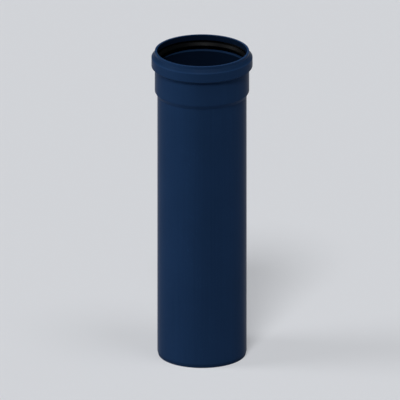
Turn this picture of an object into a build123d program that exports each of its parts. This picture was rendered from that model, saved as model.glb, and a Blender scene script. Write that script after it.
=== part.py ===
from build123d import *
import math
import os

# Polypropylene sewer pipe of nominal size 110, standing on its spigot end with its socket up.
# Millimetres, +Z up. The origin is the centre of the spigot's end face.

# Plain pipe
pipe_diameter = 110.0
pipe_wall = 2.7
total_length = 397.0

# Spigot end: the outside is cut back to a lead-in chamfer
chamfer_height = 4.8
chamfer_angle = 15.0

# Socket: the pipe's own wall, widened to take the next pipe's spigot
socket_bore_diameter = 111.0
socket_wall = 2.7
socket_depth = 52.0
cone_height = 5.5
cone_bend = 2.0
rim_height = 3.6
rim_rounding = 0.25

# Bead: the wall pushed out again to make the groove for the seal
bead_diameter = 124.7
bead_top_depth = 8.0
bead_height = 11.4
bead_foot_height = 2.6
bead_top_rounding = 0.8
bead_foot_rounding = 0.5

# Groove inside the bead
groove_diameter = 120.2
mouth_depth = 6.7
groove_roof_drop = 2.5
ledge_foot_depth = 21.1
ledge_angle = 45.0

# Rubber ring: a heel that fills the groove, and a lip that points inwards and down. A channel
# round the top divides the two
heel_bore_diameter = 115.0
heel_bore_depth = 12.4
crest_diameter = 116.8
channel_diameter = 116.2
channel_depth = 10.4
lip_top_diameter = 110.4
lip_top_depth = 9.35
lip_top_width = 0.5
lip_tip_diameter = 106.6
lip_tip_depth = 14.1
lip_tip_thickness = 1.3
lip_land_height = 1.2
lip_root_diameter = 112.4
lip_root_depth = 10.9


def turned(outline):
    """Turn a closed outline of (radius, height, corner rounding) points about the Z axis."""
    corners = [(radius, height) for radius, height, rounding in outline]
    roundings = [rounding for radius, height, rounding in outline]
    with BuildPart() as body:
        with BuildSketch(Plane.XZ):
            with BuildLine():
                FilletPolyline(*corners, radius=roundings, close=True)
            make_face()
        revolve(axis=Axis.Z)
    return body.part


# Radii and heights that several outlines share
pipe_radius = pipe_diameter / 2
bore_radius = pipe_radius - pipe_wall
socket_bore_radius = socket_bore_diameter / 2
socket_radius = socket_bore_radius + socket_wall
bead_radius = bead_diameter / 2
groove_radius = groove_diameter / 2
rim = total_length
groove_roof = rim - mouth_depth - groove_roof_drop
ledge_slope = math.tan(math.radians(ledge_angle))


def roof_height(radius):
    """Height of the groove's sloping roof at this radius."""
    share = (radius - socket_bore_radius) / (groove_radius - socket_bore_radius)
    return rim - mouth_depth - share * groove_roof_drop


def ledge_height(radius):
    """Height of the sloping ledge under the seal at this radius."""
    return rim - ledge_foot_depth + (radius - socket_bore_radius) * ledge_slope


def pipe():
    """The pipe's wall: up the outside from the spigot end to the rim, then down the inside."""
    chamfer_radius = pipe_radius - chamfer_height * math.tan(math.radians(chamfer_angle))
    cone_top = rim - socket_depth
    cone_foot = cone_top - cone_height
    cone_lean = math.atan2(socket_radius - pipe_radius, cone_height)
    # the wall keeps its thickness round the cone, so its inner bends lie a little higher
    bend_rise = pipe_wall * math.tan(cone_lean / 2)
    bead_top = rim - bead_top_depth
    bead_bottom = bead_top - bead_height
    outside = [
        (chamfer_radius, 0, 0),
        (pipe_radius, chamfer_height, 0),
        (pipe_radius, cone_foot, cone_bend),
        (socket_radius, cone_top, cone_bend),
        (socket_radius, bead_bottom - bead_foot_height, 0),
        (bead_radius, bead_bottom, bead_foot_rounding),
        (bead_radius, bead_top, bead_top_rounding),
        (socket_radius, rim - rim_height, 0),
        (socket_radius, rim, rim_rounding),
    ]
    inside = [
        (socket_bore_radius, rim, rim_rounding),
        (socket_bore_radius, rim - mouth_depth, 0),
        (groove_radius, groove_roof, 0),
        (groove_radius, ledge_height(groove_radius), 0),
        (socket_bore_radius, rim - ledge_foot_depth, 0),
        (socket_bore_radius, cone_top + bend_rise, cone_bend),
        (bore_radius, cone_foot + bend_rise, cone_bend),
        (bore_radius, 0, 0),
    ]
    return turned(outside + inside)


def seal_ring():
    """The rubber ring: its heel lies on the groove's wall, roof and ledge, and its lip hangs free."""
    heel_radius = heel_bore_diameter / 2
    crest_radius = crest_diameter / 2
    lip_top_radius = lip_top_diameter / 2
    lip_tip_radius = lip_tip_diameter / 2
    lip_tip = rim - lip_tip_depth
    heel = [
        (heel_radius, rim - heel_bore_depth, 0),
        (heel_radius, ledge_height(heel_radius), 0),
        (groove_radius, ledge_height(groove_radius), 0),
        (groove_radius, groove_roof, 0),
        (crest_radius, roof_height(crest_radius), 0),
        (channel_diameter / 2, rim - channel_depth, 0),
    ]
    lip = [
        (lip_top_radius + lip_top_width, rim - lip_top_depth, 0),
        (lip_top_radius, rim - lip_top_depth - lip_top_width / 2, 0),
        (lip_tip_radius, lip_tip + lip_land_height, 0),
        (lip_tip_radius, lip_tip, 0),
        (lip_tip_radius + lip_tip_thickness, lip_tip, 0),
        (lip_root_diameter / 2, rim - lip_root_depth, 0),
    ]
    return turned(heel + lip)


os.makedirs("parts", exist_ok=True)
export_step(pipe(), "parts/pipe.step")
export_step(seal_ring(), "parts/seal_ring.step")
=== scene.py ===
import math

import bpy
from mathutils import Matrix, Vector


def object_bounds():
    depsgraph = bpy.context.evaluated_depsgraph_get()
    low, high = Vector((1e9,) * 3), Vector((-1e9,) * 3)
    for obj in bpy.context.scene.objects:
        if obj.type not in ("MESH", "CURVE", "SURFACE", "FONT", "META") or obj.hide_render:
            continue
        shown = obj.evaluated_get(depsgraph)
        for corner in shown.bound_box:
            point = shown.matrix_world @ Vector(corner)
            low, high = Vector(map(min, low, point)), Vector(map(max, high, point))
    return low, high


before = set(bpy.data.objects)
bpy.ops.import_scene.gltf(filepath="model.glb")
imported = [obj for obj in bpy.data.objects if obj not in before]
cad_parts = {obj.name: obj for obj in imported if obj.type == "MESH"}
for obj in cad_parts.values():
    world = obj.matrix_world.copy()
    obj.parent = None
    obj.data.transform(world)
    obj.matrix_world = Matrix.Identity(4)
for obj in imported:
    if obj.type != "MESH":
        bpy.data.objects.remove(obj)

cad_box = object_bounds()

# Measures of the photograph, a square of 400 pixels, and of the view it was taken from, in metres.
# AXIS_COLUMN is where the pipe's axis shows, and the camera aims beside it at AIM_HEIGHT
PHOTO_SIDE = 400
PIXELS_PER_METRE = 812.0
AXIS_COLUMN = 202.0
CAMERA_ELEVATION = math.radians(20.3)
CAMERA_DISTANCE = 3.0
CAMERA_REACH = 20.0
AIM_HEIGHT = 0.2008

# Lamps: compass angle from the camera's side (positive to the right), height above the horizon,
# apparent width, all in degrees, and the brightness of a white surface that faces the lamp
LAMPS = {
    "key": (-10.2, 50.7, 15.7, 0.546),
    "right": (56.6, 71.4, 20.4, 0.162),
    "left": (-85.2, 33.8, 28.0, 0.277),
    "low_left": (-88.0, 4.0, 20.0, 0.35),
    "low_right": (105.0, 1.0, 6.0, 0.15),
}

# The world: the faint light that it gives from all round, the colour that shows beyond the floor,
# and the degrees above the horizon between which that colour fades out
WORLD_LIGHT = (0.032, 0.032, 0.032, 1)
BACKDROP_COLOUR = (0.640, 0.656, 0.685, 1)
BACKDROP_FADE = (5.0, 20.0)

# The floor in metres, its colour, and a glow that only the camera, reflections and glass see. The
# floor looks pale by that glow, and it keeps the pipe's shadow
FLOOR_SIZE = 12.0
FLOOR_COLOUR = (0.474, 0.485, 0.507, 1)
FLOOR_GLOW = 0.555

# Heights on the pipe in metres: the rim, the chamfer's upper edge, the foot and the top of the
# socket's cone, and the bead's upper edge, along which a highlight is painted as a pale line
RIM = cad_box[1][2]
CHAMFER_TOP = 0.0048
CONE_FOOT = RIM - 0.0575
CONE_TOP = RIM - 0.052
BEAD_EDGE = RIM - 0.0076

# Parts of the pipe's surface, as masks that are 1 there and 0 elsewhere. A mask is the product of
# ramps, each given by what it reads and by the readings where it is 0 and where it is 1. Height and
# from_edge, the distance above or below the bead's pale line, are in metres. Upward and facing say
# how far the surface faces up, and away from the pipe's axis, from -1 to 1
MASKS = {
    # The inside of the bore and the socket
    # Painted shade darkens the colour there
    "inside": {"facing": (-0.6, -0.95)},
    # The spigot's end up to the top of its chamfer, and the rim, where the tool marks are
    "chamfer": {"height": (CHAMFER_TOP + 0.0001, CHAMFER_TOP - 0.0001)},
    # The rim's up-facing top is also made paler as a painted highlight
    "rim": {"height": (RIM - 0.0008, RIM - 0.0004), "upward": (0.3, 0.8)},
    # The bead's shoulder, made darker than the wall by painted shade on its up-facing slope
    "shoulder": {"facing": (0.5, 0.6), "upward": (0.4, 0.6)},
    # The socket's cone, and what else faces down below it: the end face, and the chamfer in part
    # There the colour is made paler as a painted highlight
    "cone": {"height": (CONE_TOP + 0.002, CONE_TOP + 0.001), "upward": (-0.15, -0.4)},
    # A painted highlight: a pale line along the bead's upper edge
    "painted_bead_highlight": {"from_edge": (0.0012, 0.0004)},
    # The socket, where the streaks are fainter and ripples take their place
    "formed": {"height": (CONE_FOOT, CONE_FOOT + 0.008)},
}
STREAKS_ON_SOCKET = 0.4

# Noise patterns: how many lumps to a metre, and how many finer layers. Scratches take their scale
# from SCRATCH_STRETCH
NOISES = {
    "streaks": (420.0, 3.0),
    "clouds": (14.0, 3.0),
    "grain": (1500.0, 2.0),
    "ripple": (260.0, 1.0),
    "tool_marks": (3500.0, 1.0),
    "scratches": (1.0, 1.0),
    "scratch_patches": (35.0, 1.0),
    "mould_rings": (2200.0, 2.0),
    "mottle": (180.0, 4.0),
    "rubber_grain": (2500.0, 2.0),
}
# Most of a noise lies between these values
NOISE_SPAN = (0.3, 0.7)

# Factors on X, Y and Z. ACROSS leaves the height out, and the others stretch a pattern: the smaller
# a factor is beside the other two, the longer the pattern is that way
ACROSS = (1, 1, 0)
STREAK_STRETCH = (1, 1, 0.012)
RIPPLE_STRETCH = (0.04, 0.04, 1)
SCRATCH_STRETCH = (2200.0, 2200.0, 80.0)
# Two sets of scratches, turned by degrees about the axes, and the spans over which noise turns into
# a scratch, and into a patch that has scratches
SCRATCH_TURNS = ((12, 38, 0), (-55, -20, 0))
SCRATCH_SPAN = (0.67, 0.73)
SCRATCH_PATCH_SPAN = (0.5, 0.6)

# Polypropylene: its linear colour, what patterns add to the colour's brightness, and what masks
# multiply it by. The colour and the masks' factors were fitted to the photograph under these lamps.
# The shoulder's and the inside's factors are painted shade, the cone's and the rim's factors and the
# pale line along the bead's edge are painted highlight, and the chamfer's factor has no known cause
NAVY = (0.0098, 0.0287, 0.0762, 1)
TONE_ADDED = {"clouds": 0.05, "streaks": 0.04, "scratches": 0.4, "painted_bead_highlight_grain": 0.6}
TONE_FACTORS = {"shoulder": 0.82, "cone": 1.12, "inside": 0.3, "chamfer": 0.8, "rim": 1.5}
# Its roughness, and what patterns and masks add to it
PIPE_ROUGHNESS = 0.30
ROUGHNESS_ADDED = {
    "clouds": 0.02,
    "streaks": 0.02,
    "inside": 0.2,
    "cone": 0.15,
    "chamfer": 0.15,
    "rim": 0.15,
    "scratches": 0.15,
}
# Its relief, the height of each pattern in metres, and its specular level. That was fitted to the
# photograph too, and 0.5 is common
PIPE_RELIEF = {"streaks": 0.000005, "ripple": 0.00006, "tool_marks": 0.00003, "grain": 0.000004}
PIPE_SPECULAR = 0.012

# Rubber: its linear colour, the spans of that colour's brightness and of its roughness, its
# relief in metres, and its specular level. The colour and that level were fitted in the same way
RUBBER = (0.0010, 0.0014, 0.0020, 1)
RUBBER_TONE = (0.8, 1.2)
RUBBER_ROUGHNESS = (0.45, 0.53)
RUBBER_RELIEF = {"mould_rings": 0.00002, "rubber_grain": 0.00001}
RUBBER_SPECULAR = 0.08


class Nodes:
    """Short calls that build the node tree of a material or of the world."""

    def __init__(self, owner, output="OutputMaterial"):
        self.owner = owner
        self.output = output
        owner.use_nodes = True
        self.tree = owner.node_tree
        self.tree.nodes.clear()

    def add(self, kind, inputs=None, **properties):
        """Add a node, set its properties, and set or link the inputs given by name or number."""
        node = self.tree.nodes.new("ShaderNode" + kind)
        for name, value in properties.items():
            setattr(node, name, value)
        for name, value in (inputs or {}).items():
            if isinstance(value, bpy.types.NodeSocket):
                self.tree.links.new(value, node.inputs[name])
            else:
                node.inputs[name].default_value = value
        return node

    def math(self, operation, first, second=0.0, third=0.0):
        return self.add("Math", {0: first, 1: second, 2: third}, operation=operation).outputs[0]

    def vector(self, operation, inputs, output=0):
        return self.add("VectorMath", inputs, operation=operation).outputs[output]

    def spread(self, value, span, result=(0.0, 1.0)):
        """Map a value from its span to the result's span, and hold it inside."""
        ends = {"From Min": span[0], "From Max": span[1], "To Min": result[0], "To Max": result[1]}
        return self.add("MapRange", {"Value": value, **ends}).outputs[0]

    def noise(self, name, place):
        scale, detail = NOISES[name]
        inputs = {"Vector": place, "Scale": scale, "Detail": detail}
        return self.add("TexNoise", inputs).outputs["Fac"]

    def ring(self, place):
        """The radius and height of a place, for a pattern that is the same all the way round."""
        radius = self.vector("LENGTH", {0: self.vector("MULTIPLY", {0: place, 1: ACROSS})}, "Value")
        height = self.add("SeparateXYZ", {0: place}).outputs["Z"]
        return self.add("CombineXYZ", {0: radius, 1: height}).outputs[0]

    def added(self, start, weights, parts):
        """The start plus each named part times its weight."""
        for name, weight in weights.items():
            start = self.math("MULTIPLY_ADD", parts[name], weight, start)
        return start

    def multiplied(self, start, factors, parts):
        """The start times each factor where the part of that name is 1."""
        for name, factor in factors.items():
            share = self.spread(parts[name], (0.0, 1.0), (1.0, factor))
            start = self.math("MULTIPLY", start, share)
        return start

    def relief(self, heights, parts):
        """A normal that is bumped by each named part to its height."""
        inputs = {}
        for name, height in heights.items():
            bump = self.add("Bump", {"Height": parts[name], "Distance": height, **inputs})
            inputs = {"Normal": bump.outputs[0]}
        return inputs["Normal"]

    def seen(self):
        """1 for rays from the camera, off a reflection or through glass, which see the pale backdrop."""
        ray = self.add("LightPath").outputs
        direct = self.math("MAXIMUM", ray["Is Camera Ray"], ray["Is Transmission Ray"])
        return self.math("MAXIMUM", direct, ray["Is Glossy Ray"])

    def surface(self, colour, tone, roughness, normal, specular):
        """Finish a material: a colour with its brightness multiplied by the tone, and its gloss."""
        inputs = {
            "Base Color": self.vector("SCALE", {0: colour[:3], "Scale": tone}),
            "Roughness": roughness,
            "Normal": normal,
            "Specular IOR Level": specular,
        }
        return self.finish(self.add("BsdfPrincipled", inputs).outputs[0])

    def finish(self, surface):
        self.add(self.output, {"Surface": surface})
        return self.owner


def direction_to(azimuth, elevation):
    """Unit vector towards a compass angle and a height above the horizon, both in radians."""
    level = math.cos(elevation)
    return Vector((math.sin(azimuth) * level, -math.cos(azimuth) * level, math.sin(elevation)))


def place_looking(thing, back):
    """Put a camera or lamp in the scene, looking the opposite way to the vector."""
    thing.rotation_mode = "QUATERNION"
    thing.rotation_quaternion = (-back).to_track_quat("-Z", "Y")
    bpy.context.scene.collection.objects.link(thing)


def make_camera():
    """An orthographic camera at the photograph's angle and scale."""
    data = bpy.data.cameras.new("camera")
    data.type = "ORTHO"
    data.ortho_scale = PHOTO_SIDE / PIXELS_PER_METRE
    data.clip_end = CAMERA_REACH
    camera = bpy.data.objects.new("camera", data)
    aim_x = (PHOTO_SIDE / 2 - AXIS_COLUMN) / PIXELS_PER_METRE
    back = direction_to(0, CAMERA_ELEVATION)
    camera.location = Vector((aim_x, 0, AIM_HEIGHT)) + CAMERA_DISTANCE * back
    place_looking(camera, back)
    bpy.context.scene.camera = camera


def make_lamp(name, azimuth, elevation, width, brightness):
    """A soft distant lamp that lights a white surface facing it to the given brightness."""
    data = bpy.data.lights.new(name, "SUN")
    data.angle = math.radians(width)
    data.energy = math.pi * brightness
    lamp = bpy.data.objects.new(name, data)
    place_looking(lamp, direction_to(math.radians(azimuth), math.radians(elevation)))


def make_world():
    """A faint even light, and beyond the floor a low backdrop as pale as the floor looks."""
    nodes = Nodes(bpy.data.worlds.new("world"), "OutputWorld")
    direction = nodes.add("TexCoord").outputs["Generated"]
    upward = nodes.add("SeparateXYZ", {0: direction}).outputs["Z"]
    fade_low, fade_high = (math.sin(math.radians(height)) for height in BACKDROP_FADE)
    share = nodes.math("MULTIPLY", nodes.seen(), nodes.spread(upward, (fade_high, fade_low)))
    light = nodes.add("Background", {"Color": WORLD_LIGHT}).outputs[0]
    backdrop = nodes.add("Background", {"Color": BACKDROP_COLOUR}).outputs[0]
    mixed = nodes.add("MixShader", {0: share, 1: light, 2: backdrop}).outputs[0]
    bpy.context.scene.world = nodes.finish(mixed)


def floor_material():
    """A matt pale floor that shows paler to the camera and in reflections than it lights the pipe."""
    nodes = Nodes(bpy.data.materials.new("floor"))
    paint = nodes.add("BsdfDiffuse", {"Color": FLOOR_COLOUR}).outputs[0]
    strength = nodes.math("MULTIPLY", nodes.seen(), FLOOR_GLOW)
    glow = nodes.add("Emission", {"Color": FLOOR_COLOUR, "Strength": strength}).outputs[0]
    return nodes.finish(nodes.add("AddShader", {0: paint, 1: glow}).outputs[0])


def make_floor():
    half = FLOOR_SIZE / 2
    mesh = bpy.data.meshes.new("floor")
    corners = [(-half, -half, 0), (half, -half, 0), (half, half, 0), (-half, half, 0)]
    mesh.from_pydata(corners, [], [(0, 1, 2, 3)])
    mesh.materials.append(floor_material())
    floor = bpy.data.objects.new("floor", mesh)
    bpy.context.scene.collection.objects.link(floor)


def pipe_masks(nodes, place):
    """Make the masks of MASKS from the surface's place and the way it faces."""
    normal = nodes.add("TexCoord").outputs["Normal"]
    height = nodes.add("SeparateXYZ", {0: place}).outputs["Z"]
    outward = nodes.vector("NORMALIZE", {0: nodes.vector("MULTIPLY", {0: place, 1: ACROSS})})
    readings = {
        "height": height,
        "from_edge": nodes.math("ABSOLUTE", nodes.math("SUBTRACT", height, BEAD_EDGE)),
        "upward": nodes.add("SeparateXYZ", {0: normal}).outputs["Z"],
        "facing": nodes.vector("DOT_PRODUCT", {0: outward, 1: normal}, "Value"),
    }
    masks = {}
    for name, ramps in MASKS.items():
        masks[name] = 1.0
        for reading, ramp in ramps.items():
            masks[name] = nodes.math("MULTIPLY", nodes.spread(readings[reading], ramp), masks[name])
    return masks


def scratches(nodes, place, turn):
    """Sparse fine scratches that lie along one direction, given by turns about the axes in degrees."""
    turn = tuple(math.radians(angle) for angle in turn)
    turned = nodes.add("Mapping", {"Vector": place, "Rotation": turn}).outputs[0]
    lines = nodes.noise("scratches", nodes.vector("MULTIPLY", {0: turned, 1: SCRATCH_STRETCH}))
    patches = nodes.noise("scratch_patches", turned)
    lines = nodes.spread(lines, SCRATCH_SPAN)
    return nodes.math("MULTIPLY", lines, nodes.spread(patches, SCRATCH_PATCH_SPAN))


def pipe_patterns(nodes, place, masks):
    """Patterns on the polypropylene. Streaks and clouds run from -1 to 1, the rest from 0 to 1."""
    streaks = nodes.noise("streaks", nodes.vector("MULTIPLY", {0: place, 1: STREAK_STRETCH}))
    streaks = nodes.spread(streaks, NOISE_SPAN, (-1.0, 1.0))
    clouds = nodes.spread(nodes.noise("clouds", place), NOISE_SPAN, (-1.0, 1.0))
    ripple = nodes.noise("ripple", nodes.vector("MULTIPLY", {0: place, 1: RIPPLE_STRETCH}))
    grain = nodes.noise("grain", place)
    tool_marks = nodes.noise("tool_marks", nodes.ring(place))
    # 1 at both ends of the pipe, where the tool marks are
    cut = nodes.math("MAXIMUM", masks["chamfer"], masks["rim"])
    return {
        "streaks": nodes.multiplied(streaks, {"formed": STREAKS_ON_SOCKET}, masks),
        "clouds": clouds,
        "grain": grain,
        # A painted highlight: grain made paler along the bead's upper edge
        "painted_bead_highlight_grain": nodes.math("MULTIPLY", grain, masks["painted_bead_highlight"]),
        "ripple": nodes.math("MULTIPLY", ripple, masks["formed"]),
        "tool_marks": nodes.math("MULTIPLY", tool_marks, cut),
        "scratches": nodes.math("MAXIMUM", *(scratches(nodes, place, turn) for turn in SCRATCH_TURNS)),
    }


def polypropylene():
    """Navy polypropylene with faint streaks along it, tool marks at its ends and a few scratches."""
    nodes = Nodes(bpy.data.materials.new("polypropylene"))
    place = nodes.add("TexCoord").outputs["Object"]
    masks = pipe_masks(nodes, place)
    parts = {**masks, **pipe_patterns(nodes, place, masks)}
    tone = nodes.multiplied(nodes.added(1.0, TONE_ADDED, parts), TONE_FACTORS, parts)
    rough = nodes.added(PIPE_ROUGHNESS, ROUGHNESS_ADDED, parts)
    return nodes.surface(NAVY, tone, rough, nodes.relief(PIPE_RELIEF, parts), PIPE_SPECULAR)


def rubber():
    """Black rubber: a dull, slightly mottled skin with fine rings round it."""
    nodes = Nodes(bpy.data.materials.new("seal_rubber"))
    place = nodes.add("TexCoord").outputs["Object"]
    mottle = nodes.noise("mottle", place)
    parts = {
        "mould_rings": nodes.noise("mould_rings", nodes.ring(place)),
        "rubber_grain": nodes.noise("rubber_grain", place),
    }
    tone = nodes.spread(mottle, NOISE_SPAN, RUBBER_TONE)
    rough = nodes.spread(mottle, NOISE_SPAN, RUBBER_ROUGHNESS)
    return nodes.surface(RUBBER, tone, rough, nodes.relief(RUBBER_RELIEF, parts), RUBBER_SPECULAR)


make_camera()
make_world()
for name, values in LAMPS.items():
    make_lamp(name, *values)
make_floor()
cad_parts["pipe"].material_slots[0].material = polypropylene()
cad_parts["seal_ring"].material_slots[0].material = rubber()

bpy.context.scene.view_settings.view_transform = "Standard"
